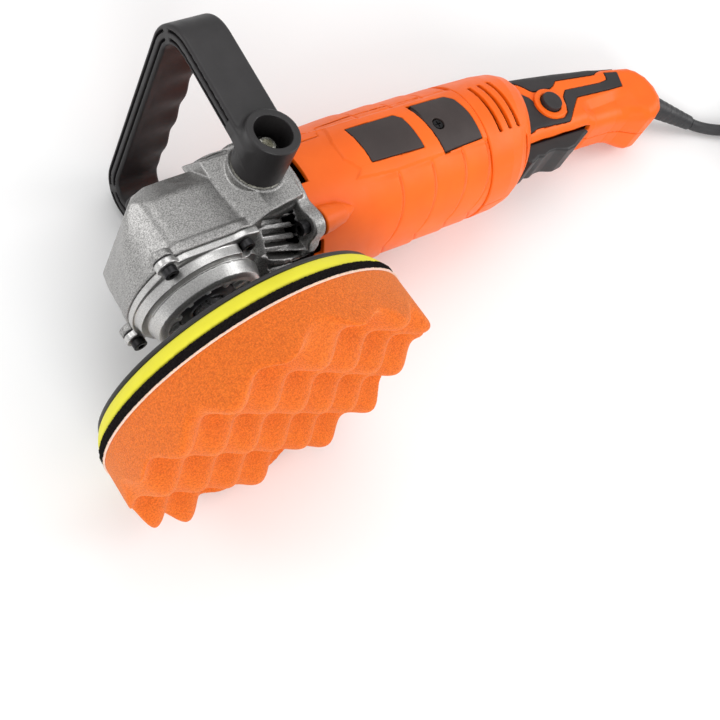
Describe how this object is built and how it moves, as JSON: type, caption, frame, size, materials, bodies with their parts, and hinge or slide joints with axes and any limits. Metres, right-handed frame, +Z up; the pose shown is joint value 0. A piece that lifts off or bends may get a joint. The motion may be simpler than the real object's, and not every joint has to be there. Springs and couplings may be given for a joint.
{
  "type": "rotary polisher",
  "caption": "Corded rotary polisher with a foam pad on a hook-and-loop backing plate, cast gear head, bolt-on D-handle and trigger grip, lying on its side.",
  "frame": {"origin": "middle of the polisher's box, without its free cord, at the level of the floor that it lies on", "axes": "+Z up from the floor; +Y along the spindle from the pad to the gear head; +X along the motor to the rear grip, which leans 10 degrees down to the floor"},
  "size_m": [0.6489, 0.315, 0.1798],
  "materials": {
    "orange_shell": "satin",
    "black_plastic": "satin",
    "soft_grip": "matte",
    "cast_alloy": "satin",
    "steel": "satin",
    "black_fastener": "satin",
    "zinc_plate": "satin",
    "copper": "satin",
    "brass": "satin",
    "carbon": "matte",
    "orange_foam": "matte",
    "yellow_foam": "matte",
    "hook_loop": "matte",
    "cord_rubber": "satin"
  },
  "bodies": {
    "machine": {"spindle_bearing_lower": "steel", "spindle_bearing_upper": "steel", "spindle_cover": "cast_alloy", "gear_gasket": "black_plastic", "cover_screw_1": "black_fastener", "cover_screw_2": "black_fastener", "cover_screw_3": "black_fastener", "cover_screw_4": "black_fastener", "gear_housing": "cast_alloy", "flange_screw_1": "black_fastener", "flange_screw_2": "black_fastener", "flange_screw_3": "black_fastener", "flange_screw_4": "black_fastener", "motor_housing": "orange_shell", "name_plate": "black_plastic", "field_core": "steel", "field_winding": "copper", "motor_bearing_front": "steel", "motor_bearing_rear": "steel", "carbon_brush_left": "carbon", "brush_holder_left": "brass", "brush_cover_left": "black_plastic", "brush_cover_screw_left": "black_fastener", "carbon_brush_right": "carbon", "brush_holder_right": "brass", "brush_cover_right": "black_plastic", "brush_cover_screw_right": "black_fastener", "rear_shell_left": "orange_shell", "rear_shell_right": "orange_shell", "shell_screw": "black_fastener", "grip_inlay_left": "soft_grip", "grip_inlay_right": "soft_grip", "switch_body": "black_plastic", "d_handle": "black_plastic", "d_handle_bolt_left": "zinc_plate", "d_handle_washer_left": "zinc_plate", "d_handle_bolt_right": "zinc_plate", "d_handle_washer_right": "zinc_plate", "strain_relief": "cord_rubber", "power_cord": "cord_rubber", "cord_coil": "cord_rubber", "cord_tie": "black_plastic", "plug": "cord_rubber", "plug_contacts": "brass"},
    "spindle_and_pad": {"spindle": "steel", "crown_gear": "steel", "plate_insert": "steel", "backing_plate": "black_plastic", "plate_cushion": "yellow_foam", "hook_loop_layer": "hook_loop", "foam_pad": "orange_foam"},
    "armature": {"armature_shaft": "steel", "armature_core": "steel", "armature_winding": "copper", "commutator": "copper", "cooling_fan": "black_plastic", "drive_pinion": "steel"},
    "trigger": {"switch_trigger": "black_plastic"},
    "lock_on": {"lock_on_button": "black_plastic"},
    "spindle_lock": {"spindle_lock_button": "black_plastic"}
  },
  "joints": [
    {"name": "spindle_spin", "type": "hinge", "parent": "machine", "child": "spindle_and_pad", "pos_m": [-0.16101, -0.04559, 0.08884], "axis": [0, 0.9998, -0.0209], "continuous": true},
    {"name": "motor_spin", "type": "hinge", "parent": "machine", "child": "armature", "pos_m": [-0.06257, 0.01003, 0.07008], "axis": [0.9844, -0.0037, -0.1758], "continuous": true},
    {"name": "trigger_pull", "type": "hinge", "parent": "machine", "child": "trigger", "pos_m": [0.08116, -0.01801, 0.04499], "axis": [0.1759, 0.0206, 0.9842], "range_deg": [0, 6.5], "stiffness_Nm_per_rad": 2, "springref_deg": -2.86},
    {"name": "lock_on_press", "type": "slide", "parent": "machine", "child": "lock_on", "axis": [-0.1759, -0.0206, -0.9842], "range_m": [0, 0.0025], "stiffness_N_per_m": 400, "springref_m": -0.0005},
    {"name": "spindle_lock_press", "type": "slide", "parent": "machine", "child": "spindle_lock", "axis": [0, -0.9998, 0.0209], "range_m": [0, 0.003], "stiffness_N_per_m": 500, "springref_m": -0.0005}
  ],
  "couplings": [
    {"joint": "motor_spin", "follows": "spindle_spin", "ratio": 4}
  ]
}
